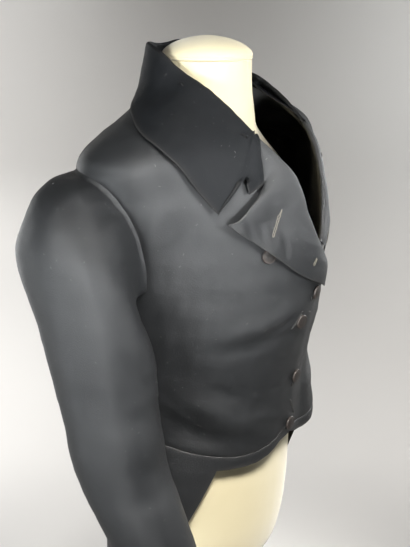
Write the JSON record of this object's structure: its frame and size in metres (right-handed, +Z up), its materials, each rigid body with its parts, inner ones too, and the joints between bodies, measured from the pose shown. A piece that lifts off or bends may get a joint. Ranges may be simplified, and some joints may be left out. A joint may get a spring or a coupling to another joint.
{
  "type": "tailcoat on a limbless dress form",
  "caption": "Double-breasted tailcoat of dark wool with a high notched collar, worn buttoned on a limbless linen dress form with a pole and a round base.",
  "frame": {"origin": "on the floor, at the middle of the round base's underside, below the dress form's neck", "axes": "+Z up, the coat's front faces -Y, and the wearer's right side is -X"},
  "size_m": [0.5807, 0.3358, 1.527],
  "materials": {
    "wool": "fine black wool cloth with a soft sheen",
    "collar_wool": "fine black wool cloth, slightly more worn",
    "button": "worn cloth over a button mould",
    "linen": "plain cream linen",
    "wood": "waxed hardwood"
  },
  "bodies": {
    "root": {"forepart_right": "wool", "forepart_left": "wool", "back_right": "wool", "back_left": "wool", "skirt_right": "wool", "skirt_left": "wool", "lapel_right": "wool", "lapel_left": "wool", "collar_fall_right": "collar_wool", "collar_fall_left": "collar_wool", "collar_stand": "collar_wool", "sleeve_upper_right": "wool", "sleeve_upper_left": "wool", "sleeve_under_right": "wool", "sleeve_under_left": "wool", "button_top_right": "button", "button_front_1": "button", "button_front_2": "button", "button_front_3": "button", "button_front_4": "button", "button_hip_right": "button", "button_hip_left": "button", "form_torso": "linen", "form_neck_cap": "linen", "stand_pole": "wood", "stand_base": "wood"}
  },
  "joints": []
}
